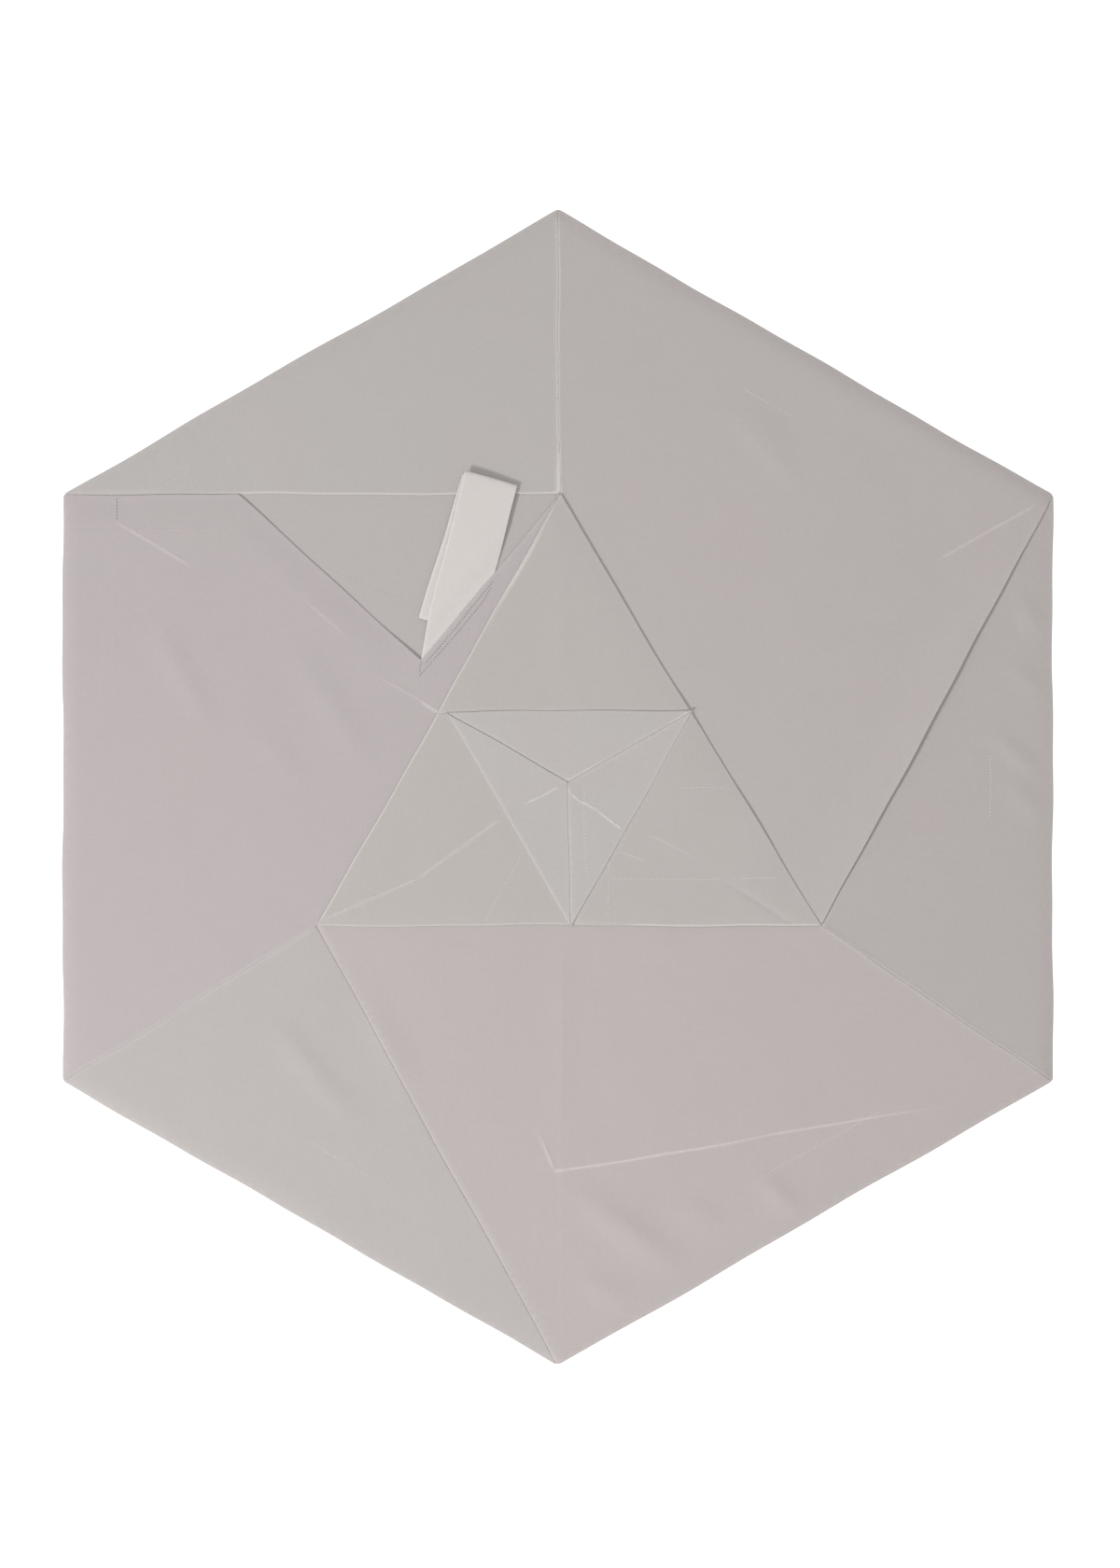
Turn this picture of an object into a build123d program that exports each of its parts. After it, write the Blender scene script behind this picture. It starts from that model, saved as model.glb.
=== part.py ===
from build123d import *
import os

# A hexagonal cloth tent let down flat on its own floor. The walls lie over the floor in a pinwheel,
# and the three-sided crown lies on top in the middle. +Z is up, and the floor rests on Z = 0.
# The origin is the middle of the hexagon. Millimetres.

os.makedirs("parts", exist_ok=True)

# Driving dimensions
half_width = 530.0  # middle to an upright side of the hexagon
tip_height = 619.0  # middle to the upper or lower tip
shoulder_height = 314.0  # middle to the ends of the upright sides
corner_round = 7.0
ply_gap = 0.6  # how far each piece stands back from its outline
cloth = 1.2  # a wall's ply
thin_cloth = 0.8  # a pleat's ply
floor_cloth = 1.6
webbing = 1.0
anchor_webbing = 0.6
anchor_depth = 20.0  # how far the strap's sewn end reaches under the wall

# Heights of the plies' lower faces
pleat_level = 1.9
side_wall_level = 1.9
anchor_level = 2.9
kite_wall_level = 3.8
crown_level = 5.4
tail_level = 5.4
strap_level = 6.5
vent_level = 6.8

# The hexagon's corners, clockwise from the upper tip
tips = [
    (0, tip_height),
    (half_width, shoulder_height),
    (half_width, -shoulder_height),
    (0, -tip_height),
    (-half_width, -shoulder_height),
    (-half_width, shoulder_height),
]
# The crown's corners: upper, lower right, lower left
crown_corners = [(2.5, 314.0), (282.5, -148.0), (-257.5, -148.0)]
# The inner star's corners, one on each side of the crown: right, lower, left, and its middle
star_corners = [(142.0, 82.0), (15.0, -147.0), (-118.0, 80.0)]
star_middle = (10.0, 5.5)
left_crown_edge = (-129.2, 80.0)  # on the crown's left side, beside the star's left corner
# The notch in the left wall: its outer end and its inner end
notch_outer = (-342.5, 314.0)
notch_inner = (-145.5, 137.0)
# The strap is folded over along its root, which runs up the notch's right side
strap_root = [(-145.5, 138.0), (-66.5, 233.0)]
strap_outline = [strap_root[0], (-137.5, 186.0), (-99.5, 339.0), (-43.5, 323.0), strap_root[1]]
tail_outline = [(-102.0, 336.0), (-148.5, 182.0), (-128.0, 176.0), (-72.0, 243.0), (-49.0, 321.0)]


def ply(label, outline, level, thickness):
    """One flat ply of cloth, standing back from its outline by the ply gap."""
    with BuildPart() as piece:
        with BuildSketch(Plane.XY.offset(level)):
            with BuildLine():
                Polyline(*outline, close=True)
            make_face()
            offset(amount=-ply_gap, kind=Kind.INTERSECTION)
        extrude(amount=thickness)
    piece.part.label = label
    export_step(piece.part, f"parts/{label}.step")
    return piece.part


# The floor, with its six corners rounded
with BuildPart() as floor_panel:
    with BuildSketch():
        with BuildLine():
            Polyline(*tips, close=True)
        make_face()
    extrude(amount=floor_cloth)
    fillet(floor_panel.edges().filter_by(Axis.Z), radius=corner_round)
floor_panel.part.label = "floor_panel"
export_step(floor_panel.part, "parts/floor_panel.step")

# Three kite-shaped walls and the three-sided walls between them
upper, lower_right, lower_left = crown_corners
ply("upper_wall", [tips[0], tips[1], lower_right, upper], kite_wall_level, cloth)
ply("lower_wall", [tips[2], tips[3], lower_left, lower_right], kite_wall_level, cloth)
left_outline = [tips[4], tips[5], notch_outer, notch_inner, upper, lower_left]
ply("left_wall", left_outline, kite_wall_level, cloth)
ply("upper_left_wall", [tips[5], tips[0], upper], side_wall_level, cloth)
ply("right_wall", [tips[1], tips[2], lower_right], side_wall_level, cloth)
ply("lower_left_wall", [tips[3], tips[4], lower_left], side_wall_level, cloth)

# The hidden pleat under each kite's folded edge
star_right, star_lower, star_left = star_corners
ply("upper_pleat", [tips[1], lower_right, star_right], pleat_level, thin_cloth)
ply("lower_pleat", [tips[3], lower_left, star_lower], pleat_level, thin_cloth)
ply("left_pleat", [tips[5], upper, left_crown_edge], pleat_level, thin_cloth)

# The crown: three corners round the inner star, and the lining under the star
ply("crown_top", [upper, star_right, star_left, left_crown_edge], crown_level, cloth)
ply("crown_right", [lower_right, star_lower, star_right], crown_level, cloth)
crown_left_outline = [lower_left, left_crown_edge, star_left, star_lower]
ply("crown_left", crown_left_outline, crown_level, cloth)
ply("crown_lining", [star_left, star_right, star_lower], crown_level, thin_cloth)

# The star's three facets, each a flap that opens about its outer edge
ply("vent_flap_top", [star_left, star_right, star_middle], vent_level, cloth)
ply("vent_flap_right", [star_right, star_lower, star_middle], vent_level, cloth)
ply("vent_flap_left", [star_lower, star_left, star_middle], vent_level, cloth)

# The strap, its end folded back under it, and its other end sewn under the left wall
ply("strap", strap_outline, strap_level, webbing)
ply("strap_tail", tail_outline, tail_level, webbing)
root_start, root_end = Vector(strap_root[0]), Vector(strap_root[1])
root_side = (root_end - root_start).rotate(Axis.Z, -90).normalized()
inner_side = [root_end + root_side * anchor_depth, root_start + root_side * anchor_depth]
ply("strap_anchor", [root_start, root_end, *inner_side], anchor_level, anchor_webbing)
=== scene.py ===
import math

import bmesh
import bpy
import numpy as np
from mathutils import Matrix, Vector, geometry, noise


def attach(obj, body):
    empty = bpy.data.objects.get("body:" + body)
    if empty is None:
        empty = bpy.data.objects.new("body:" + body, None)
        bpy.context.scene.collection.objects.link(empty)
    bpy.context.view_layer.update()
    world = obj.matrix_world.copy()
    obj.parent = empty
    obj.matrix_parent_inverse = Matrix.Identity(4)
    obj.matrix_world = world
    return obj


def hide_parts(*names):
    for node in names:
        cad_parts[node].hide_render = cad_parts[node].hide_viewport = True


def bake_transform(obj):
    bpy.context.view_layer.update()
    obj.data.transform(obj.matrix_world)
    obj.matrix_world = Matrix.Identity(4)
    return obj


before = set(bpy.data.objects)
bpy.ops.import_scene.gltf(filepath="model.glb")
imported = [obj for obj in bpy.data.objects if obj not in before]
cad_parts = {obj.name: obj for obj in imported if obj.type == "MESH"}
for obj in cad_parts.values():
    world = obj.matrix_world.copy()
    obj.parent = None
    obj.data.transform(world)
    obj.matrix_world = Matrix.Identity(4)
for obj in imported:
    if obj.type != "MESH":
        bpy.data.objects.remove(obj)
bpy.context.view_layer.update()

# A hexagonal tent lies folded flat on its floor. Lengths are in metres, and mm turns millimetres into them.
# Every ply is a closed thin shell. Its outline comes from its CAD node, and its height from a function of
# x and y. Creases, wrinkles and stitches are placed in millimetres from the middle of the tent.
mm = 0.001
ply_gap = 0.6 * mm  # what CAD leaves round each ply
tip_radius = 4.5 * mm  # the hexagon's corners
corner_radius = 1.5 * mm  # every other corner of a ply
rim_pitch = 4 * mm  # between the points along a ply's rim
rim_reach = 1.1  # how far the rounded rim goes in, in thicknesses
rim_profile = ((0.1, 0.44), (0.4, 0.8), (1.0, 1.0))  # each row's share of that reach, and of the thickness
crease_rows = (-2.4, -1.5, -0.9, -0.45, 0, 0.45, 0.9, 1.5, 2.4)  # across a crease, in its widths
stitch_pitch = 3.5 * mm
strap_pitch = 3.15 * mm  # the closer stitches of the strap
bead = ((0, 0.35), (0.22, 0.9), (0.5, 1.0), (0.78, 0.9), (1, 0.35))  # a stitch's rings: place and width
bead_sides = 6

# ---------------------------------------------------------------- outlines from the frame


def unit(v):
    return v / np.linalg.norm(v)


def signed_area(polygon):
    after = np.roll(polygon, -1, 0)
    return (polygon[:, 0] * after[:, 1] - after[:, 0] * polygon[:, 1]).sum() / 2


def grow(points, amount):
    """A polygon with each side moved outwards by amount."""
    points = np.array(points, float)
    after = np.roll(points, -1, 0)
    turn = np.sign(signed_area(points))
    side = after - points
    side /= np.linalg.norm(side, axis=1)[:, None]
    out = np.stack([side[:, 1], -side[:, 0]], 1) * turn
    grown = []
    for i in range(len(points)):
        normals = np.array([out[i - 1], out[i]])
        grown.append(np.linalg.solve(normals, (normals * points[i]).sum(1) + amount))
    return np.array(grown)


def outline(node):
    """The corners of a flat CAD ply, in order, grown by the gap that CAD leaves round it."""
    flat = bmesh.new()
    flat.from_mesh(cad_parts[node].data)
    bmesh.ops.remove_doubles(flat, verts=flat.verts, dist=0.01 * mm)
    tops = [f for f in flat.faces if f.normal.z > 0.9]
    follow = {}
    for face in tops:
        for loop in face.loops:
            if sum(f in tops for f in loop.edge.link_faces) == 1:
                follow[loop.vert] = loop.link_loop_next.vert
    start = here = next(iter(follow))
    corners = []
    while True:
        corners.append(np.array(here.co[:2]))
        here = follow[here]
        if here is start:
            break
    flat.free()
    kept = []
    for i, p in enumerate(corners):
        a, b = p - corners[i - 1], corners[(i + 1) % len(corners)] - p
        turn = abs(a[0] * b[1] - a[1] * b[0]) / (np.linalg.norm(a) * np.linalg.norm(b))
        if turn > 0.01:
            kept.append(p)
    return grow(kept, ply_gap)


def corner(node, x, y):
    """The corner of a ply that lies furthest in the direction (x, y)."""
    points = outline(node)
    return points[np.argmax(points @ np.array([x, y], float))]


tip = [
    corner("upper_wall", 0, 1),
    corner("upper_wall", 1, 0.1),
    corner("lower_wall", 1, -0.1),
    corner("lower_wall", 0, -1),
    corner("left_wall", -1, -0.5),
    corner("left_wall", -1, 0.5),
]
crown = [corner("crown_top", 0, 1), corner("crown_right", 1, -0.2), corner("crown_left", -1, -0.5)]
star = [corner("crown_lining", 1, 0.5), corner("crown_lining", 0, -1), corner("crown_lining", -1, 0.5)]
star_middle = corner("vent_flap_top", 0, -1)
notch_outer, _, notch_inner = sorted(outline("left_wall"), key=lambda p: p[0])[2:5]
strap_low, strap_high = corner("strap", -0.6, -1), corner("strap", 1, -0.4)
strap_top = [corner("strap", -0.1, 1), corner("strap", 1, 0.6)]


# ---------------------------------------------------------------- measures on the cloth


def span(p, a, b):
    """Each point's place along the line from a to b, 0 to 1, and its distance to the left of the line."""
    run = b - a
    length = np.linalg.norm(run)
    t = (p - a) @ run / length**2
    left = ((p - a) @ np.array([-run[1], run[0]])) / length
    return t, left


def smooth(t):
    t = np.clip(t, 0, 1)
    return t * t * (3 - 2 * t)


def sides(polygon):
    polygon = np.array(polygon)
    return list(zip(polygon, np.roll(polygon, -1, 0)))


def to_sides(p, segments):
    """The distance of each point to the nearest of some straight sides."""
    near = np.full(len(p), np.inf)
    for a, b in segments:
        run = b - a
        t = np.clip((p - a) @ run / (run @ run), 0, 1)[:, None]
        near = np.minimum(near, np.linalg.norm(p - a - t * run, axis=1))
    return near


def to_edge(p, polygon):
    return to_sides(p, sides(polygon))


def inside(p, polygon):
    """Whether each point is inside a polygon."""
    hits = np.zeros(len(p), bool)
    for a, b in zip(polygon, np.roll(polygon, -1, 0)):
        crosses = (a[1] > p[:, 1]) != (b[1] > p[:, 1])
        level = np.where(b[1] == a[1], 1e-12, b[1] - a[1])
        hits ^= crosses & (p[:, 0] < (b[0] - a[0]) * (p[:, 1] - a[1]) / level + a[0])
    return hits


def at(x, y):
    """A point in millimetres from the middle of the tent."""
    return np.array([x, y]) * mm


def line(a, b, width, height, wear_and_highlight=0.0, fade_in=0.1, fade_out=0.1):
    """A crease from a to b: a low ridge, or with a negative height a groove, that fades at its ends. Its
    paler share lightens the cloth along it, partly as wear and partly as painted highlight.
    """
    return {"a": a, "b": b, "width": width, "height": height, "wear_and_highlight": wear_and_highlight, "fade": (fade_in, fade_out)}


def edge_row(a, b, inset, start, end):
    """The ends of a row parallel to the line from a to b, inset to its left, over part of its length."""
    run = b - a
    across = unit(np.array([-run[1], run[0]])) * inset
    return [a + run * start + across, a + run * end + across]


def beside(a, b, inset, start, end, *look):
    """A crease parallel to the line from a to b, inset to its left, over part of its length."""
    start, end = edge_row(a, b, inset, start, end)
    return line(start, end, *look)


def strength(p, crease):
    """How much of a crease each point has, from 0 to 1."""
    t, off = span(p, crease["a"], crease["b"])
    ends = smooth(t / max(crease["fade"][0], 1e-3)) * smooth((1 - t) / max(crease["fade"][1], 1e-3))
    return np.exp(-((off / crease["width"]) ** 2)) * ends


def raised(p, creases):
    total = np.zeros(len(p))
    for crease in creases:
        total += crease["height"] * strength(p, crease)
    return total


# Soft wrinkles that every ply shares, so that none cuts through another
wrinkles = [
    line(at(178, 416), at(268, 312), 9 * mm, 1.5 * mm, fade_in=0.4, fade_out=0.5),
    line(at(196, 420), at(262, 345), 7 * mm, 1.0 * mm, fade_in=0.5, fade_out=0.5),
    line(at(292, 428), at(318, 402), 6 * mm, 1.0 * mm, fade_in=0.5, fade_out=0.5),
    line(at(-436, 190), at(-362, 40), 13 * mm, 1.6 * mm, fade_in=0.4, fade_out=0.5),
    line(at(-290, 165), at(-190, 0), 16 * mm, 1.5 * mm, fade_in=0.4, fade_out=0.5),
    line(at(-340, 90), at(-262, -20), 14 * mm, 0.9 * mm, fade_in=0.5, fade_out=0.5),
    line(at(-318, -236), at(-205, -372), 12 * mm, 1.8 * mm, fade_in=0.4, fade_out=0.5),
    line(at(-214, -205), at(-150, -345), 15 * mm, 1.7 * mm, fade_in=0.4, fade_out=0.5),
    line(at(4, -420), at(146, -526), 15 * mm, 2.8 * mm, fade_in=0.5, fade_out=0.5),
    line(at(14, -520), at(92, -560), 12 * mm, 1.6 * mm, fade_in=0.5, fade_out=0.5),
    line(at(110, -440), at(190, -470), 14 * mm, 1.6 * mm, fade_in=0.5, fade_out=0.5),
    line(at(202, -406), at(272, -466), 10 * mm, 2.2 * mm, fade_in=0.5, fade_out=0.5),
    line(at(452, 70), at(515, 14), 8 * mm, 1.8 * mm, fade_in=0.5, fade_out=0.3),
    line(at(470, 14), at(522, -34), 9 * mm, 1.4 * mm, fade_in=0.5, fade_out=0.3),
    line(at(486, 214), at(522, 160), 8 * mm, 1.8 * mm, fade_in=0.5, fade_out=0.3),
    line(at(478, 140), at(520, 96), 9 * mm, 1.2 * mm, fade_in=0.5, fade_out=0.3),
    line(at(2, 300), at(6, 96), 9 * mm, 0.5 * mm, fade_in=0.3, fade_out=0.3),
    line(at(5, -160), at(2, -395), 10 * mm, 0.5 * mm, fade_in=0.3, fade_out=0.3),
]
hexagon = np.array(tip)
cloth_lift, soft_roll, fine_roll = 0.55 * mm, 0.42 * mm, 0.05 * mm
flat_border = 22 * mm  # along the hexagon's sides, where the cloth comes down flat


def rolling(p):
    """The slow rise and fall of cloth that was pressed flat, never below zero."""
    soft = np.array([noise.fractal(Vector((x * 7, y * 7, 0.3)), 0.8, 2.1, 4) for x, y in p])
    fine = np.array([noise.noise(Vector((x * 42, y * 42, 5.0))) for x, y in p])
    lift = cloth_lift + soft_roll * soft + fine_roll * fine + raised(p, wrinkles)
    return np.clip(lift, 0, None) * smooth(to_edge(p, hexagon) / flat_border)


def drift(p):
    """Cloth edges are never quite straight: every ply and stitch shares this small sideways shift."""
    shift = np.empty_like(p)
    shift[:, 0] = 0.7 * mm * np.sin(p[:, 1] * 23 + 1.0) + 0.35 * mm * np.sin(p[:, 1] * 61 + p[:, 0] * 17)
    shift[:, 1] = 0.7 * mm * np.sin(p[:, 0] * 21 + 2.0) + 0.35 * mm * np.sin(p[:, 0] * 57 - p[:, 1] * 19)
    return p + shift


# ---------------------------------------------------------------- meshes


def spaced(a, b, step):
    count = max(1, round(float(np.linalg.norm(b - a)) / step))
    return a + np.arange(count)[:, None] / count * (b - a)


def same(a, b):
    return np.linalg.norm(a - b) < 0.01 * mm


def bend(a, p, b, count):
    """Points along the curve that leaves a towards p and comes to b from p."""
    return [(1 - t) ** 2 * a + 2 * t * (1 - t) * p + t**2 * b for t in np.linspace(0, 1, count)]


def rounded(points, sharp=()):
    """A polygon with its corners rounded, apart from the sharp ones. The hexagon's corners are rounder."""
    result = []
    for i, p in enumerate(points):
        if any(same(p, q) for q in sharp):
            result.append(p)
            continue
        before, after = points[i - 1] - p, points[(i + 1) % len(points)] - p
        wanted = tip_radius if any(same(p, q) for q in tip) else corner_radius
        reach = min(wanted, 0.3 * np.linalg.norm(before), 0.3 * np.linalg.norm(after))
        result += bend(p + unit(before) * reach, p, p + unit(after) * reach, 6)
    return np.array(result)


def on_line(side, pair):
    """Whether a side lies along the line between a pair of points."""
    a, b = pair
    across = max(abs(span(np.array([q]), a, b)[1][0]) for q in side)
    t = [span(np.array([q]), a, b)[0][0] for q in side]
    return across < 0.05 * mm and min(t) > -0.01 and max(t) < 1.01


def inset(loop, free, thick):
    """How far each point of a loop moves in to round off the free sides, less where the loop turns."""
    run = np.roll(loop, -1, 0) - loop
    length = np.linalg.norm(run, axis=1)
    inward = np.stack([-run[:, 1], run[:, 0]], 1) / length[:, None]
    moves = []
    for i in range(len(loop)):
        normals, rates = np.array([inward[i - 1], inward[i]]), np.array([free[i - 1], free[i]], float)
        turn = normals[0, 0] * normals[1, 1] - normals[0, 1] * normals[1, 0]
        if not rates.any():
            move = np.zeros(2)
        elif abs(turn) < 0.05:
            move = normals.mean(0)
        else:
            move = np.linalg.solve(normals, rates)
            move *= min(1, 2 / np.linalg.norm(move))
        if rates.all() and turn > 0.05:
            radius = 0.5 * (length[i - 1] + length[i]) / turn
            move = move * min(1, 0.7 * radius / (rim_reach * thick))
        moves.append(move)
    return rim_reach * thick * np.array(moves)


def placed(name, data):
    """A new object in the scene."""
    made = bpy.data.objects.new(name, data)
    bpy.context.collection.objects.link(made)
    return made


def rim_rows(loop, is_free, thick):
    """The rows of points round a ply's rim: the points, each one's share of the thickness, and the rows as
    point numbers. The points of a joined side are shared by every row."""
    moves = inset(loop, is_free, thick)
    kept = np.abs(moves).sum(1) > 0  # the points that are not on a joined side
    count = len(loop)
    points, swell, rows = [loop], [~kept], [np.arange(count)]
    for n, (depth, height) in enumerate(rim_profile):
        row = np.arange(count)
        row[kept] = count + n * kept.sum() + np.arange(kept.sum())
        rows.append(row)
        points.append((loop + depth * moves)[kept])
        swell.append(np.full(kept.sum(), height))
    return np.concatenate(points), np.concatenate(swell), rows


def inner_points(edge, free_sides, creases, step, thick):
    """The points inside a ply's rim: a grid, and rows along each crease."""
    low, high = edge.min(0), edge.max(0)
    free = []
    for i, y in enumerate(np.arange(low[1], high[1], step * 0.87)):
        xs = np.arange(low[0], high[0], step) + (step / 2 if i % 2 else 0)
        free.append(np.stack([xs, np.full(len(xs), y)], 1))
    for crease in creases:
        a, b = crease["a"], crease["b"]
        across = unit(np.array([a[1] - b[1], b[0] - a[0]]))
        for k in crease_rows:
            free.append(spaced(a, b, rim_pitch) + across * k * crease["width"])
    free = np.concatenate(free)
    free = free[inside(free, edge) & (to_sides(free, free_sides) > 1.3 * thick)]
    free = free[to_edge(free, edge) > 0.5 * mm]
    cells = np.round(free / (0.35 * mm)).astype(int)
    return free[np.sort(np.unique(cells, axis=0, return_index=True)[1])]


def filled(rim_points, rows, inner):
    """A ply's points and faces: triangles inside the last rim row, and quads between the rows."""
    count = len(rows[0])
    places = [Vector(q) for q in (*rim_points[rows[-1]], *inner)]
    made = geometry.delaunay_2d_cdt(places, [], [list(range(count))], 1, 1e-7)
    number = []  # each triangulated point's place in the list of all points
    added = []
    for q, sources in zip(made[0], made[3]):
        if sources and sources[0] < count:
            number.append(int(rows[-1][sources[0]]))
        else:
            number.append(len(rim_points) + len(added))
            added.append(q[:])
    faces = [[number[v] for v in f] for f in made[2] if len(f) == 3]
    for outer, within in zip(rows, rows[1:]):
        for i in range(count):
            j = (i + 1) % count
            if outer[i] != within[i] and outer[j] != within[j]:
                faces.append([int(outer[i]), int(outer[j]), int(within[j]), int(within[i])])
    return np.concatenate([rim_points, np.array(added)]), faces


def ply(name, corners, middle, thick, creases=(), step=9 * mm, joined=(), flat_below=False):
    """A closed thin shell over a polygon. middle(p) is the height of its middle surface, and creases add
    to it. Its edges are rounded, apart from the joined ones, where the cloth runs on into the next ply."""
    edge = rounded(np.array(corners), sharp=[q for pair in joined for q in pair])
    if signed_area(edge) < 0:
        edge = edge[::-1]
    free_sides = [s for s in sides(edge) if not any(on_line(s, pair) for pair in joined)]
    loop = np.concatenate([spaced(a, b, rim_pitch) for a, b in sides(edge)])
    is_free = np.array([not any(on_line(s, pair) for pair in joined) for s in sides(loop)])
    rim_points, swell, rows = rim_rows(loop, is_free, thick)
    p, faces = filled(rim_points, rows, inner_points(edge, free_sides, creases, step, thick))

    # The upper and lower faces share the free rim's points, and a wall closes a joined side
    curve = np.concatenate([swell, np.ones(len(p) - len(swell))])
    rim = curve == 0
    level = middle(p) + raised(p, creases)
    under = {int(v): len(p) + n for n, v in enumerate(np.flatnonzero(~rim))}
    moved = drift(p)
    bottom = np.full(len(p), 0.02 * mm) if flat_below else level - thick / 2 * curve
    top = level + thick / 2 * curve
    if flat_below:
        top = np.where(rim, 0.5 * thick, top)
    upper_points = np.column_stack([moved, top])
    lower_points = np.column_stack([moved, bottom])[~rim]
    below = [[under.get(v, v) for v in reversed(f)] for f in faces]
    used = {(a, b) for f in faces for a, b in zip(f, (*f[1:], f[0]))}
    walls = [[b, a, under.get(a, a), under.get(b, b)] for a, b in sorted(used) if (b, a) not in used]
    walls = [w for w in (list(dict.fromkeys(w)) for w in walls) if len(w) > 2]
    mesh = bpy.data.meshes.new(name)
    mesh.from_pydata(np.concatenate([upper_points, lower_points]).tolist(), [], [*faces, *below, *walls])
    # Paler along the free sides and creases: partly wear of the pressed folds, partly painted highlight on
    # edges that face the key lamp
    wear_and_highlight = 0.35 * np.exp(-((to_sides(p, free_sides) / (1.6 * mm)) ** 2))
    for crease in creases:
        wear_and_highlight += crease["wear_and_highlight"] * strength(p, crease)
    values = np.concatenate([wear_and_highlight, wear_and_highlight[~rim]]).clip(0, 1).astype(np.float32)
    mesh.attributes.new("wear_and_highlight", "FLOAT", "POINT").data.foreach_set("value", values)
    mesh.shade_smooth()
    mesh.update()
    return placed(name, mesh)


def stitches(name, runs, height, pitch=stitch_pitch, width=0.8 * mm, share=0.56, stand=0.2 * mm):
    """Rows of thread stitches: each is a short bead with rounded ends that dips into the cloth."""
    points, faces = [], []
    ring = [(math.cos(a), math.sin(a)) for a in np.linspace(0, 2 * math.pi, bead_sides + 1)[:-1]]
    for path in runs:
        lengths = np.cumsum([0] + [np.linalg.norm(b - a) for a, b in zip(path, path[1:])])
        count = int(lengths[-1] / pitch)
        for i in range(count):
            ends = np.array([i * pitch, (i + share) * pitch])
            flat = np.column_stack([np.interp(ends, lengths, [q[k] for q in path]) for k in (0, 1)])
            wobble = 0.12 * mm * math.sin(i * 2.4)
            run = flat[1] - flat[0]
            side = unit(np.array([-run[1], run[0]]))
            base = len(points)
            for t, size in bead:
                centre = flat[0] + t * run + side * wobble
                z = height(centre[None])[0] + stand * (1 - (2 * t - 1) ** 2) - 0.06 * mm
                where = drift(centre[None])[0]
                for c, s in ring:
                    across = where + side * c * size * width / 2
                    points.append((across[0], across[1], z + s * size * width * 0.4))
            last = len(points) - bead_sides
            for first in range(base, last, bead_sides):
                for j in range(bead_sides):
                    a, b = first + j, first + (j + 1) % bead_sides
                    faces.append((a, b, b + bead_sides, a + bead_sides))
            faces.append(tuple(base + j for j in reversed(range(bead_sides))))
            faces.append(tuple(last + j for j in range(bead_sides)))
    mesh = bpy.data.meshes.new(name)
    mesh.from_pydata(points, [], faces)
    mesh.shade_smooth()
    mesh.update()
    return placed(name, mesh)


# ---------------------------------------------------------------- materials


def linear(*srgb):
    """The shader's colour for an 8-bit screen colour."""
    parts = [c / 255 for c in srgb]
    return [c / 12.92 if c <= 0.04045 else ((c + 0.055) / 1.055) ** 2.4 for c in parts] + [1]


class Nodes:
    """A short way to add and link shader nodes."""

    def __init__(self, name):
        self.material = bpy.data.materials.new(name)
        self.material.use_nodes = True
        self.tree = self.material.node_tree
        self.shader = self.tree.nodes["Principled BSDF"]

    def add(self, kind, values=None, **settings):
        node = self.tree.nodes.new(kind)
        for key, value in settings.items():
            setattr(node, key, value)
        for key, value in (values or {}).items():
            if isinstance(value, bpy.types.NodeSocket):
                self.tree.links.new(value, node.inputs[key])
            else:
                node.inputs[key].default_value = value
        return node

    def math(self, operation, a, b):
        return self.add("ShaderNodeMath", {0: a, 1: b}, operation=operation).outputs[0]


# How much the parts of the cloth's pattern change its tone
slub_tone, grain_tone, weave_tone = 0.07, 0.10, 0.05


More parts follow.
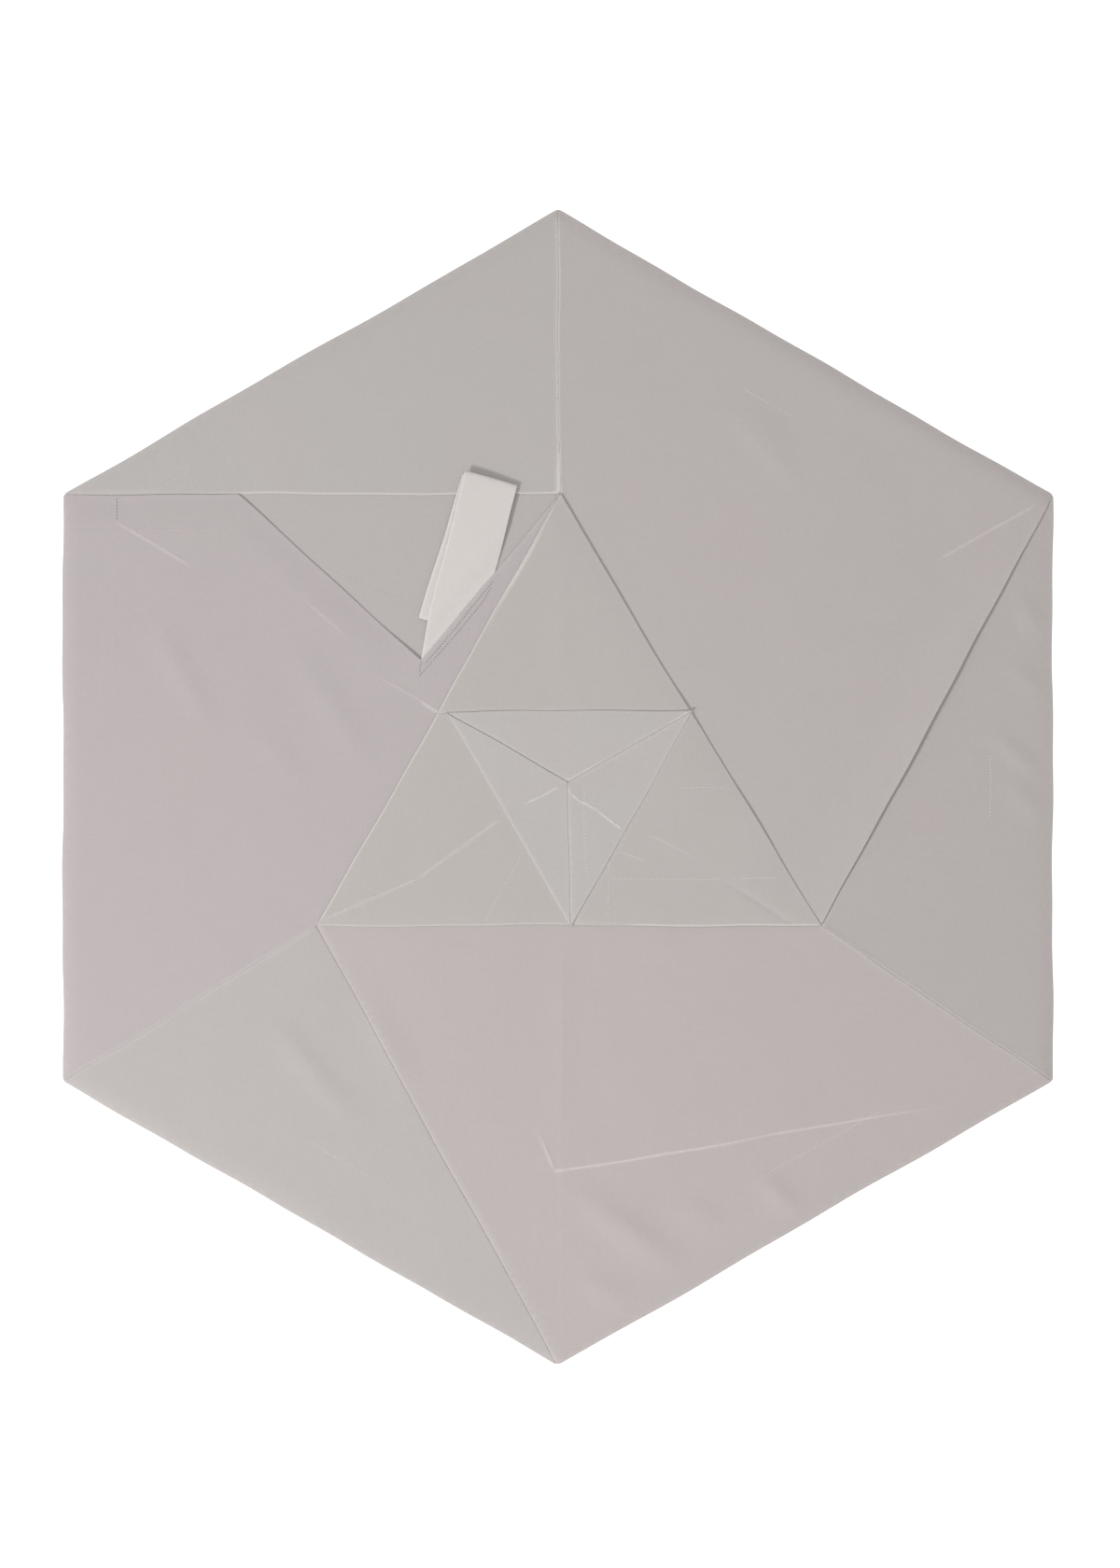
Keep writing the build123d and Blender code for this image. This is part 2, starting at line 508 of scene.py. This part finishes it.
def woven(name, colour, thread=0.9 * mm, relief=0.12 * mm, twill=False, mottle=0.035):
    """Plain-woven canvas or twill tape: crossed threads, slubs, slow mottling, and paler folds and edges,
    which are partly wear and partly painted highlight.
    """
    n = Nodes(name)
    where = n.add("ShaderNodeTexCoord").outputs["Object"]
    turns = (0, math.pi / 2) if not twill else (math.pi / 4, math.pi / 4 + 1.35)
    waves = []
    for turn in turns:
        turned = n.add("ShaderNodeMapping", {"Vector": where, "Rotation": (0, 0, turn)}).outputs[0]
        bands = {"Vector": turned, "Scale": math.pi / 10 / thread, "Distortion": 0.6, "Detail": 1.0,
                 "Detail Scale": 0.5}
        waves.append(n.add("ShaderNodeTexWave", bands, wave_profile="SIN").outputs["Fac"])
    weave = n.math("MULTIPLY", waves[0], waves[1])
    slubs = []
    for stretch in ((1, 14, 1), (14, 1, 1)):
        run = n.add("ShaderNodeMapping", {"Vector": where, "Scale": stretch}).outputs[0]
        slub = {"Vector": run, "Scale": 90.0, "Detail": 3.0, "Roughness": 0.6}
        slubs.append(n.add("ShaderNodeTexNoise", slub).outputs["Fac"])
    slub = n.math("ADD", slubs[0], slubs[1])
    grain = n.add("ShaderNodeTexNoise", {"Vector": where, "Scale": 420.0, "Detail": 3.0}).outputs["Fac"]
    cloud = n.add("ShaderNodeTexNoise", {"Vector": where, "Scale": 14.0, "Detail": 4.0, "Roughness": 0.62})
    blush = n.add("ShaderNodeTexNoise", {"Vector": where, "Scale": 6.0, "Detail": 3.0}).outputs["Fac"]
    base = linear(*colour)
    pink = linear(colour[0] + 1, colour[1] - 0.5, colour[2] + 0.5)
    green = linear(colour[0] - 1, colour[1] + 0.75, colour[2] - 0.5)
    tinted = n.add("ShaderNodeMix", {"Factor": blush, 6: pink, 7: green}, data_type="RGBA").outputs[2]
    shade = n.math("ADD", n.math("MULTIPLY", cloud.outputs["Fac"], mottle), 1 - mottle / 2)
    shade = n.math("ADD", shade, n.math("MULTIPLY", n.math("SUBTRACT", slub, 1.0), slub_tone))
    shade = n.math("ADD", shade, n.math("MULTIPLY", n.math("SUBTRACT", grain, 0.5), grain_tone))
    shade = n.math("ADD", shade, n.math("MULTIPLY", n.math("SUBTRACT", weave, 0.25), weave_tone))
    grey = n.add("ShaderNodeCombineColor", {0: shade, 1: shade, 2: shade}).outputs[0]
    shaded = {"Factor": 1.0, 6: tinted, 7: grey}
    dyed = n.add("ShaderNodeMix", shaded, data_type="RGBA", blend_type="MULTIPLY")
    # The paler colour along folds and edges: partly wear, partly painted highlight
    wear_and_highlight = n.add("ShaderNodeAttribute", attribute_name="wear_and_highlight").outputs["Fac"]
    pale = [min(1, c * 1.3) for c in base[:3]] + [1]
    wear_highlight_share = n.math("MULTIPLY", wear_and_highlight, n.math("ADD", 0.45, n.math("MULTIPLY", grain, 0.8)))
    final = n.add("ShaderNodeMix", {"Factor": wear_highlight_share, 6: dyed.outputs[2], 7: pale}, data_type="RGBA")
    n.tree.links.new(final.outputs[2], n.shader.inputs["Base Color"])
    rough = n.math("ADD", 0.86, n.math("MULTIPLY", grain, 0.1))
    n.tree.links.new(rough, n.shader.inputs["Roughness"])
    height = n.math("ADD", weave, n.math("MULTIPLY", slub, 0.5))
    height = n.math("ADD", height, n.math("MULTIPLY", grain, 0.5))
    bump = n.add("ShaderNodeBump", {"Height": height, "Strength": 0.55, "Distance": relief})
    n.tree.links.new(bump.outputs[0], n.shader.inputs["Normal"])
    n.shader.inputs["Sheen Weight"].default_value = 0.12
    n.shader.inputs["Sheen Roughness"].default_value = 0.5
    n.shader.inputs["Specular IOR Level"].default_value = 0.18
    return n.material


def thread(name, colour):
    """Twisted sewing thread."""
    n = Nodes(name)
    where = n.add("ShaderNodeTexCoord").outputs["Object"]
    twist = {"Vector": where, "Scale": 900.0, "Distortion": 1.0}
    bands = n.add("ShaderNodeTexWave", twist, bands_direction="DIAGONAL").outputs["Fac"]
    dark = [c * 0.86 for c in linear(*colour)[:3]] + [1]
    mixed = n.add("ShaderNodeMix", {"Factor": bands, 6: dark, 7: linear(*colour)}, data_type="RGBA")
    n.tree.links.new(mixed.outputs[2], n.shader.inputs["Base Color"])
    bump = n.add("ShaderNodeBump", {"Height": bands, "Strength": 0.4, "Distance": 0.1 * mm})
    n.tree.links.new(bump.outputs[0], n.shader.inputs["Normal"])
    n.shader.inputs["Roughness"].default_value = 0.6
    return n.material


# Each ply's colour, as a screen colour, a few levels lighter or darker from ply to ply
tones = {
    "upper_wall": (185, 178, 176),
    "lower_wall": (187, 179, 177),
    "left_wall": (185, 177, 177),
    "upper_left_wall": (185, 180, 177),
    "right_wall": (183, 176, 174),
    "lower_left_wall": (185, 179, 177),
    "crown": (186, 180, 177),
    "star": (188, 183, 180),
    "inner": (184, 178, 176),
    "floor": (180, 174, 171),
}
canvas = {name: woven(f"canvas_{name}", tone) for name, tone in tones.items()}
tape = woven("webbing_tape", (213, 207, 204), thread=0.8 * mm, relief=0.14 * mm, twill=True, mottle=0.03)
pale_thread = thread("pale_thread", (232, 228, 225))
grey_thread = thread("grey_thread", (210, 204, 202))
dark_thread = thread("dark_thread", (128, 122, 120))


def dress(piece, material):
    piece.data.materials.append(material)


# ---------------------------------------------------------------- the floor


floor_thick = 1.6 * mm


def floor_height(p):
    return np.full(len(p), floor_thick / 2)


floor_cloth = ply("floor_cloth", tip, floor_height, floor_thick, step=24 * mm, flat_below=True)
dress(floor_cloth, canvas["floor"])
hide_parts("floor_panel")
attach(floor_cloth, "floor")

# ---------------------------------------------------------------- the six walls

# Wall k and the side wall before it share the crease from tip 2k to crown corner k.
kite_names = ["upper_wall", "lower_wall", "left_wall"]
side_names = ["upper_left_wall", "right_wall", "lower_left_wall"]
pleat_names = ["left_pleat", "upper_pleat", "lower_pleat"]
wall_thick, pleat_thick = 1.0 * mm, 0.6 * mm
crease_level, kite_level, side_level = 3.5 * mm, 4.4 * mm, 2.55 * mm
pleat_level, rim_level = 2.05 * mm, 2.2 * mm
seam_width = 9 * mm  # along the floor's seam, where the walls come down to it
edge_lift = [4.0 * mm, 0.5 * mm, 0.6 * mm]  # how far each kite's folded edge stands up
edge_lift_width = 26 * mm
notch_press, notch_press_width = 1.4 * mm, 34 * mm  # the left wall's edge at the notch is pressed down
notch_rise = 0.75 * mm  # the folded edge across the notch stands this much higher
crown_weight, crown_weight_width = 0.35 * mm, 6 * mm  # the crown presses the walls under it


def rim_drop(p, level):
    """Walls come down to the floor's seam along the hexagon's sides."""
    near = smooth(to_edge(p, hexagon) / seam_width)
    return rim_level + (level - rim_level) * near


def kite_height(k):
    outer, middle, free = tip[2 * k], crown[k], (tip[2 * k + 1], crown[(k + 1) % 3])
    notch = [notch_outer, notch_inner]

    def height(p):
        from_crease = np.abs(span(p, outer, middle)[1])
        t, _ = span(p, *free)
        from_free = to_edge(p, np.array(free))
        share = from_crease / (from_crease + from_free + 1e-6)
        level = crease_level + (kite_level - crease_level) * (1 - (1 - share) ** 2)
        along = np.clip(4 * t * (1 - t), 0, 1)
        level = level + edge_lift[k] * np.exp(-((from_free / edge_lift_width) ** 2)) * along
        if k == 2:  # the left wall's upper edge is pressed down onto the pleat below
            t, _ = span(p, *notch)
            pressed = 1 - smooth(to_sides(p, [(tip[5], notch_outer), notch]) / notch_press_width)
            level = level - notch_press * pressed * smooth((1 - t) / 0.25)
        under = to_edge(p, np.array(crown)) * inside(p, np.array(crown))
        return rim_drop(p, level) - crown_weight * smooth(under / crown_weight_width) + rolling(p)

    return height


def side_height(k):
    outer, middle, low = tip[2 * k], crown[k], tip[2 * k - 1]

    def height(p):
        from_crease = np.abs(span(p, outer, middle)[1])
        from_low = np.abs(span(p, low, middle)[1])
        share = from_crease / (from_crease + from_low + 1e-6)
        level = crease_level + (side_level - crease_level) * share
        if k == 0:  # beside the notch this wall's folded edge lies over the ply below
            past_notch = smooth((p[:, 0] - notch_outer[0]) / (40 * mm))
            level = level + notch_rise * past_notch * share
        return rim_drop(p, level) + rolling(p)

    return height


def pleat_height(p):
    return np.full(len(p), pleat_level) + rolling(p)


kite_tops = [kite_height(k) for k in range(3)]
side_tops = [side_height(k) for k in range(3)]


def radial(k, wear_and_highlight, height):
    """The ridge along the crease between a kite and its side wall."""
    return line(tip[2 * k], crown[k], 2.2 * mm, height, wear_and_highlight, 0.08, 0.02)


ridges = [radial(0, 0.75, 0.55 * mm), radial(1, 0.25, 0.45 * mm), radial(2, 0.45, 0.45 * mm)]
kite_marks = [
    [
        ridges[0],
        line(at(403, 242), at(516, 306), 1.3 * mm, 0.2 * mm, 0.6, 0.15, 0.15),
    ],
    [
        ridges[1],
        line(at(-23, -362), at(-3, -409), 1.6 * mm, 0.5 * mm, 0.6, 0.6, 0.1),
        line(at(-5, -411), at(10, -409), 1.8 * mm, 0.6 * mm, 0.9, 0.3, 0.3),
        line(at(4, -410), at(236, -371), 1.2 * mm, 0.4 * mm, 1.0, 0.04, 0.3),
        line(at(180, -380), at(437, -336), 1.1 * mm, 0.3 * mm, 0.9, 0.3, 0.5),
        line(at(4, -152), at(3, -600), 2.2 * mm, 0.08 * mm, 0.05, 0.1, 0.1),
    ],
    [
        ridges[2],
        line(at(-484, 292), at(-382, 231), 1.5 * mm, 0.25 * mm, 0.55, 0.3, 0.3),
        line(at(-276, 205), at(-222, 160), 1.4 * mm, 0.16 * mm, 0.35, 0.3, 0.3),
        line(at(-206, 128), at(-136, 88), 1.1 * mm, 0.15 * mm, 0.35, 0.5, 0.1),
        line(at(-147, 93), at(-122, 78), 1.7 * mm, 0.4 * mm, 0.9, 0.3, 0.1),
    ],
]


# The crease beside the strap is thick near the crown, and both of its plies share this
thick_end = line(at(2, 372), at(0, 306), 2.6 * mm, 0.9 * mm, 0.9, 0.6, 0.05)
kite_marks[0].append(thick_end)
side_marks = [[ridges[k]] for k in range(3)]
# Along the side wall's folded edge from the left corner to the crown: a low ridge, painted paler as a
# highlight where the edge faces the key lamp
painted_edge_highlight = beside(tip[5], crown[0], 1.0 * mm, 0.2, 1.0, 1.1 * mm, 0.2 * mm, 0.9, 0.3, 0.02)
side_marks[0] += [thick_end, painted_edge_highlight]


def foot(point, a, b):
    """The point of the line from a to b nearest to a point."""
    run = b - a
    return a + run * ((point - a) @ run) / (run @ run)


def open_with_crown(piece, near, far, reach):
    """Bakes the piece's place into its mesh, so that it stays where it lies. near, far and reach are not
    used."""
    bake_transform(piece)


def tip_curve(before, corner_point, after):
    """A hexagon corner's round outline, as points up to its middle, its middle, and points past it."""
    start, end = (corner_point + unit(q - corner_point) * tip_radius for q in (before, after))
    curve = bend(start, corner_point, end, 9)
    return curve[:4], curve[4], curve[5:]


crown_tuck = 16 * mm  # how far the plies below reach in under the crown


def tuck_under_crown(a, b):
    """Two corners moved in under the crown, so that no gap shows along its side."""
    run = unit(b - a)
    inward = np.array([run[1], -run[0]])
    if inward @ (np.mean(crown, 0) - a) < 0:
        inward = -inward
    return a + inward * crown_tuck + run * 30 * mm, b + inward * crown_tuck - run * 14 * mm


# Each pleat's reach point, at this many times the way from its side to the crown. The left one's lies
# furthest in
pleat_hang = [1.45, 1, 1]
pleat_reach = []
for k in range(3):
    a, b, c, d = tip[2 * k], tip[2 * k + 1], crown[(k + 1) % 3], crown[k]
    before, middle, after = tip_curve(tip[2 * k - 1], a, b)
    notch = [notch_outer, notch_inner] if k == 2 else []
    hidden = tuck_under_crown(c, d)
    corners = [middle, *after, b, *notch, c, *hidden, d]
    crease = [(middle, d)]
    wall = ply(f"{kite_names[k]}_cloth", corners, kite_tops[k], wall_thick, kite_marks[k], joined=crease)
    dress(wall, canvas[kite_names[k]])
    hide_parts(kite_names[k])
    open_with_crown(wall, a, b, d)

    corners = [tip[2 * k - 1], *before, middle, d]
    side = ply(f"{side_names[k]}_cloth", corners, side_tops[k], wall_thick, side_marks[k], joined=crease)
    dress(side, canvas[side_names[k]])
    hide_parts(side_names[k])
    open_with_crown(side, tip[2 * k - 1], a, d)

    # The pleat's upper corners stand back from the fold above it, and its inner ones lie under the crown
    tucked = [tip[2 * k - 1] + unit(a - tip[2 * k - 1]) * 24 * mm, d + unit(a - d) * 12 * mm]
    corners = [tip[2 * k - 1], *tucked, *tuck_under_crown(d, star[(k + 2) % 3]), star[(k + 2) % 3]]
    pleat = ply(f"{pleat_names[k]}_cloth", corners, pleat_height, pleat_thick)
    dress(pleat, canvas["inner"])
    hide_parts(pleat_names[k])
    start = foot(d, tip[2 * k - 1], a)
    pleat_reach.append(start + (d - start) * pleat_hang[k])
    open_with_crown(pleat, tip[2 * k - 1], a, pleat_reach[k])

# ---------------------------------------------------------------- the crown and its star of flaps

crown_thick, flap_thick, lining_thick = 1.0 * mm, 1.0 * mm, 0.6 * mm
crown_level, lining_level, flap_level = 6.0 * mm, 5.3 * mm, 7.3 * mm
crown_swell, crown_press, flap_rise = 0.45 * mm, 0.6 * mm, 0.75 * mm
puckers = ((0.49, 0.04), (0.745, 0.07))  # places along the crown's upper right side, and half widths
flap_overlap = 2.2 * mm  # how far the flaps reach out over the crown


def crown_height(p):
    """The crown stands above the walls. Its upper right side is pressed down, but for two puckers."""
    swell = crown_swell * smooth(to_edge(p, np.array(crown)) / (14 * mm))
    t, off = span(p, crown[0], crown[1])
    puckered = sum(np.exp(-(((t - place) / width) ** 2)) for place, width in puckers)
    pressed = crown_press * (1 - puckered) * np.exp(-((off / (22 * mm)) ** 2))
    return crown_level + swell - pressed + rolling(p)


def lining_height(p):
    return np.full(len(p), lining_level) + rolling(p)


def flap_height(over, under):
    """A flap of the star lies over one neighbour, at the corner over, and under the other, at under."""

    def height(p):
        away_over = np.abs(span(p, star_middle, over)[1])
        away_under = np.abs(span(p, star_middle, under)[1])
        share = away_under / (away_over + away_under + 1e-6)
        return flap_level + flap_rise * (smooth(share) - 0.3) + rolling(p)

    return height


def over_crown(corners):
    """A flap's corners, with its outer side moved out over the crown."""
    return [q if same(q, star_middle) else q + unit(q - star_middle) * flap_overlap for q in corners]


# The marks along the crown's sides are painted paler as highlights on edges that face the key lamp; the
# creases inside it are paler partly from wear
crown_marks = {
    "crown_top": [
        beside(crown[0], crown[2], 1.0 * mm, 0.02, 0.52, 1.2 * mm, 0.5 * mm, 1.0, 0.06, 0.02),
        beside(crown[0], crown[2], 3.3 * mm, 0.05, 0.32, 1.3 * mm, 0.6 * mm, 1.0, 0.3, 0.5),
        beside(star[2], star[0], 1.5 * mm, 0.0, 0.4, 1.8 * mm, -0.5 * mm, 0.0, 0.1, 0.6),
    ],
    "crown_right": [
        beside(star[1], crown[1], 1.0 * mm, 0.2, 1.0, 1.1 * mm, 0.3 * mm, 1.0, 0.1, 0.02),
        line(at(92, -46), at(158, -78), 1.3 * mm, 0.18 * mm, 0.25, 0.2, 0.4),
        line(at(68, -68), at(98, -78), 1.1 * mm, 0.16 * mm, 0.35, 0.2, 0.3),
        line(at(170, -94), at(256, -149), 3.0 * mm, -0.5 * mm, 0.0, 0.4, 0.1),
    ],
    "crown_left": [
        line(at(-250, -142), at(-146, -95), 1.2 * mm, 0.12 * mm, 0.35, 0.1, 0.1),
        line(at(-150, -97), at(-60, -32), 1.2 * mm, 0.12 * mm, 0.45, 0.1, 0.1),
        beside(crown[0], crown[2], 1.0 * mm, 0.5, 1.0, 1.1 * mm, 0.3 * mm, 0.8, 0.02, 0.05),
        beside(crown[2], star[1], 0.8 * mm, 0.0, 1.0, 0.8 * mm, 0.1 * mm, 0.4, 0.05, 0.05),
    ],
}
for name, marks in crown_marks.items():
    corners = outline(name)
    piece = ply(f"{name}_cloth", corners, crown_height, crown_thick, marks, step=8 * mm)
    dress(piece, canvas["crown"])
    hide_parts(name)
    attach(piece, "crown")
lining = ply("crown_lining_cloth", outline("crown_lining"), lining_height, lining_thick)
dress(lining, canvas["inner"])
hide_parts("crown_lining")
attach(lining, "crown")
outline("crown_lining")

# The paler lines beside the flaps' edges are painted highlights along edges that face the key lamp, partly
# wear of the folds
flap_marks = {
    "vent_flap_top": [
        beside(star_middle, star[0], 0.8 * mm, 0.0, 0.45, 0.9 * mm, 0.2 * mm, 0.9, 0.05, 0.8),
        beside(star_middle, star[0], 0.8 * mm, 0.8, 1.0, 0.9 * mm, 0.2 * mm, 0.8, 0.5, 0.1),
    ],
    "vent_flap_right": [
        line(at(7, 0), at(22, -14), 0.9 * mm, 0.35 * mm, 1.0, 0.2, 0.2),
        line(at(18, -12), at(47, -26), 0.9 * mm, 0.35 * mm, 1.0, 0.2, 0.2),
        line(at(43, -25), at(70, -44), 1.1 * mm, 0.4 * mm, 1.0, 0.2, 0.05),
    ],
    "vent_flap_left": [
        line(at(-37, -18), at(-16, -9), 0.9 * mm, 0.35 * mm, 1.0, 0.4, 0.2),
        line(at(-19, -11), at(1, 1), 1.0 * mm, 0.35 * mm, 1.0, 0.2, 0.1),
    ],
}
flap_bodies = {
    "vent_flap_top": ("vent_top_body", flap_height(star[0], star[2])),
    "vent_flap_right": ("vent_right_body", flap_height(star[1], star[0])),
    "vent_flap_left": ("vent_left_body", flap_height(star[2], star[1])),
}
for name, marks in flap_marks.items():
    corners = over_crown(outline(name))
    piece = ply(f"{name}_cloth", corners, flap_bodies[name][1], flap_thick, marks, step=6 * mm)
    dress(piece, canvas["star"])
    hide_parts(name)
    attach(piece, flap_bodies[name][0])

# ---------------------------------------------------------------- the strap

root_run = unit(strap_high - strap_low)
root_side = np.array([root_run[1], -root_run[0]])  # towards the crown, under the left wall
strap_length = float(np.abs(span(strap_top[0], strap_low, strap_high)[1]))
tape_thick = 1.1 * mm
root_tuck = 14 * mm  # how far the strap reaches in under the left wall
tape_bend = 3.2 * mm  # how much of the strap turns over at its fold
root_level, edge_rise, end_rise = 3.3 * mm, 3.2 * mm, 3.8 * mm
tail_level, tail_rise = 4.7 * mm, 1.9 * mm
tip_fall, tail_lift = 1.9 * mm, 1.6 * mm  # the two plies of webbing come together at the fold


def from_root(p):
    return -((p - strap_low) @ root_side)


def folding(p):
    """How far the webbing has turned over into its fold, from 0 to nearly 1, along a round."""
    turn = np.clip(1 - np.abs(span(p, *strap_top)[1]) / tape_bend, 0, 1)
    return 1 - np.sqrt(1 - turn**2 * 0.98)


def strap_height(p):
    """The strap comes out from under the left wall, crosses the walls' edges and rises to its fold."""
    out = np.clip(from_root(p) / strap_length, -0.1, 1)
    level = root_level + edge_rise * smooth(from_root(p) / (22 * mm)) + end_rise * smooth(out)
    return level - tip_fall * folding(p) + rolling(p)


def tail_height(p):
    out = np.clip(from_root(p) / strap_length, 0, 1)
    return tail_level + tail_rise * smooth(out) + tail_lift * folding(p) + rolling(p)


def beyond(a, b):
    """A point past b on the line from a, hidden under the left wall."""
    return b + unit(b - a) * root_tuck


strap_left_low = min(outline("strap"), key=lambda q: abs(q[1] - strap_low[1] - 48 * mm))
hidden_high, hidden_low = beyond(strap_top[1], strap_high), beyond(strap_left_low, strap_low)
strap_corners = [strap_left_low, *strap_top, hidden_high, hidden_low]
strap = ply("strap_tape", strap_corners, strap_height, tape_thick, step=5 * mm)
dress(strap, tape)
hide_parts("strap")
tail = ply("strap_tail_tape", outline("strap_tail"), tail_height, tape_thick, step=5 * mm)
dress(tail, tape)
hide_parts("strap_tail")
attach(tail, "strap_tail_body")
anchor_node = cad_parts["strap_anchor"]
anchor_node.data.materials.clear()
anchor_node.data.materials.append(tape)

# ---------------------------------------------------------------- stitches


def above(height, thick, creases=()):
    """The height of a ply's upper surface."""
    return lambda p: height(p) + thick / 2 + raised(p, creases)


def sew(name, runs, height, rides, near=None, material=pale_thread, slot="canvas", **look):
    """Rows of stitches on a ply: they ride on a body, or, when near is given, stay where they lie."""
    paths = [[q if isinstance(q, np.ndarray) else at(*q) for q in run] for run in runs]
    rows = stitches(name, paths, height, **look)
    dress(rows, material)
    if near is None:
        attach(rows, rides)
    else:
        open_with_crown(rows, *near)
    return rows


kite_sides = [(tip[2 * k], tip[2 * k + 1], crown[k]) for k in range(3)]
side_sides = [(tip[2 * k - 1], tip[2 * k], crown[k]) for k in range(3)]
kite_skin = [above(kite_tops[k], wall_thick, kite_marks[k]) for k in range(3)]
side_skin = [above(side_tops[k], wall_thick, side_marks[k]) for k in range(3)]
sew("upper_wall_stitches", [[(197.5, 429), (254.5, 394.5)]], kite_skin[0], None, kite_sides[0])
sew("right_wall_stitches", [[(462.5, 35), (462.5, -34)]], side_skin[1], None, side_sides[1])
sew("lower_wall_stitches", [[(220, -416), (347, -345)]], kite_skin[1], None, kite_sides[1])
sew("lower_left_wall_stitches", [[(-262, -380), (-199, -417)]], side_skin[2], None, side_sides[2])
sew(
    "left_wall_stitches",
    [[(-523, 276), (-442, 277), (-362, 275), (-352, 270), (-343, 257)], [(-472.5, 232), (-473, 120)]],
    kite_skin[2],
    None,
    kite_sides[2],
    material=grey_thread,
)
sew(
    "left_wall_corner_stitches",
    [[(-472, 311), (-472, 284)]],
    kite_skin[2],
    None,
    kite_sides[2],
    material=dark_thread,
)
sew("upper_left_wall_stitches", [[(-428, 323), (-398, 341)]], side_skin[0], None, side_sides[0], grey_thread)
pleat_skin = above(pleat_height, pleat_thick)
pleat_sides = (tip[5], tip[0], pleat_reach[0])
pleat_row = [(-246, 233), (-196, 214), (-160, 200)]
sew("left_pleat_stitches", [pleat_row], pleat_skin, None, pleat_sides, grey_thread)
crown_skin = above(crown_height, crown_thick)
tack = [(-3.4, 307.6), (-0.6, 306.2)]
sew("crown_top_tack", [tack], crown_skin, "crown", material=dark_thread, pitch=1.5 * mm)
flap_skin = above(flap_bodies["vent_flap_right"][1], flap_thick, flap_marks["vent_flap_right"])
sew(
    "crown_left_stitches",
    [[(-250, -142), (-206, -119), (-146, -95), (-100, -64), (-60, -33)], [(-76, -142), (-36, -68)]],
    crown_skin,
    "crown",
)
sew(
    "crown_right_stitches",
    [[(57, -97), (176, -97)], [(190, -97), (238, -97)], [(55, -80), (55, -145)], [(130, 1), (182, 1)]],
    crown_skin,
    "crown",
)
sew("vent_flap_stitches", [[(28, -4), (29, -50), (31, -96)]], flap_skin, "vent_right_body")
anchor_rows = [
    [(-140, 134), (-104, 177), (-68, 222)],
    [(-147, 120), (-112, 160), (-79, 199), (-70, 216)],
    [(-145.5, 135), (-147.5, 121)],
]
sew("strap_anchor_stitches", anchor_rows, kite_skin[2], None, kite_sides[2], dark_thread, pitch=strap_pitch)

strap_skin, tail_skin = above(strap_height, tape_thick), above(tail_height, tape_thick)
strap_seam = {"slot": "webbing", "pitch": strap_pitch, "width": 0.6 * mm}
seam_inset = -3.2 * mm  # towards the middle of the strap
strap_rows = [
    edge_row(strap_top[1], strap_high, seam_inset, 0.04, 1.0),
    edge_row(strap_left_low, strap_top[0], seam_inset, 0.0, 0.96),
]
strap_seams = sew("strap_edge_stitches", strap_rows, strap_skin, "strap_body", **strap_seam)
tail_points = outline("strap_tail")
tail_low = tail_points[np.argmin(tail_points[:, 0])]
tail_rows = [edge_row(tail_low, strap_top[0] - at(4, 8), seam_inset, 0.03, 0.8)]
sew("strap_tail_stitches", tail_rows, tail_skin, "strap_tail_body", **strap_seam)

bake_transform(strap)
outline("strap_tail")

# ---------------------------------------------------------------- floor, lights and camera

bpy.ops.mesh.primitive_plane_add(size=30, location=(0, 0, -0.0005))
ground = bpy.context.object
ground.name = "studio_floor"
paper = Nodes("studio_paper")
paper.shader.inputs["Base Color"].default_value = (0.93, 0.93, 0.93, 1)
paper.shader.inputs["Roughness"].default_value = 0.95
paper.shader.inputs["Emission Color"].default_value = (1, 1, 1, 1)
paper.shader.inputs["Emission Strength"].default_value = 0.55
ground.data.materials.append(paper.material)


def lamp(name, place, size, power):
    data = bpy.data.lights.new(name, "AREA")
    data.shape = "DISK"
    data.size = size
    data.energy = power
    light = bpy.data.objects.new(name, data)
    light.location = place
    light.rotation_euler = (-Vector(place)).to_track_quat("-Z", "Y").to_euler()
    bpy.context.collection.objects.link(light)


lamp("key", (-2.9, -2.5, 2.5), 0.8, 140)
lamp("fill", (0.6, 0.8, 4.2), 3.5, 68)
world = bpy.data.worlds.new("studio")
world.use_nodes = True
world.node_tree.nodes["Background"].inputs["Color"].default_value = (1, 1, 1, 1)
world.node_tree.nodes["Background"].inputs["Strength"].default_value = 0.35
bpy.context.scene.world = world
bpy.context.scene.view_settings.view_transform = "Standard"

camera_height = 3.2
view_height = 1.680  # what the picture's long side takes in
eye = bpy.data.cameras.new("camera")
eye.sensor_width = 36
eye.lens = 36 * camera_height / view_height
camera = bpy.data.objects.new("camera", eye)
camera.location = (2.5 * mm, 4 * mm, camera_height)
bpy.context.collection.objects.link(camera)
bpy.context.scene.camera = camera
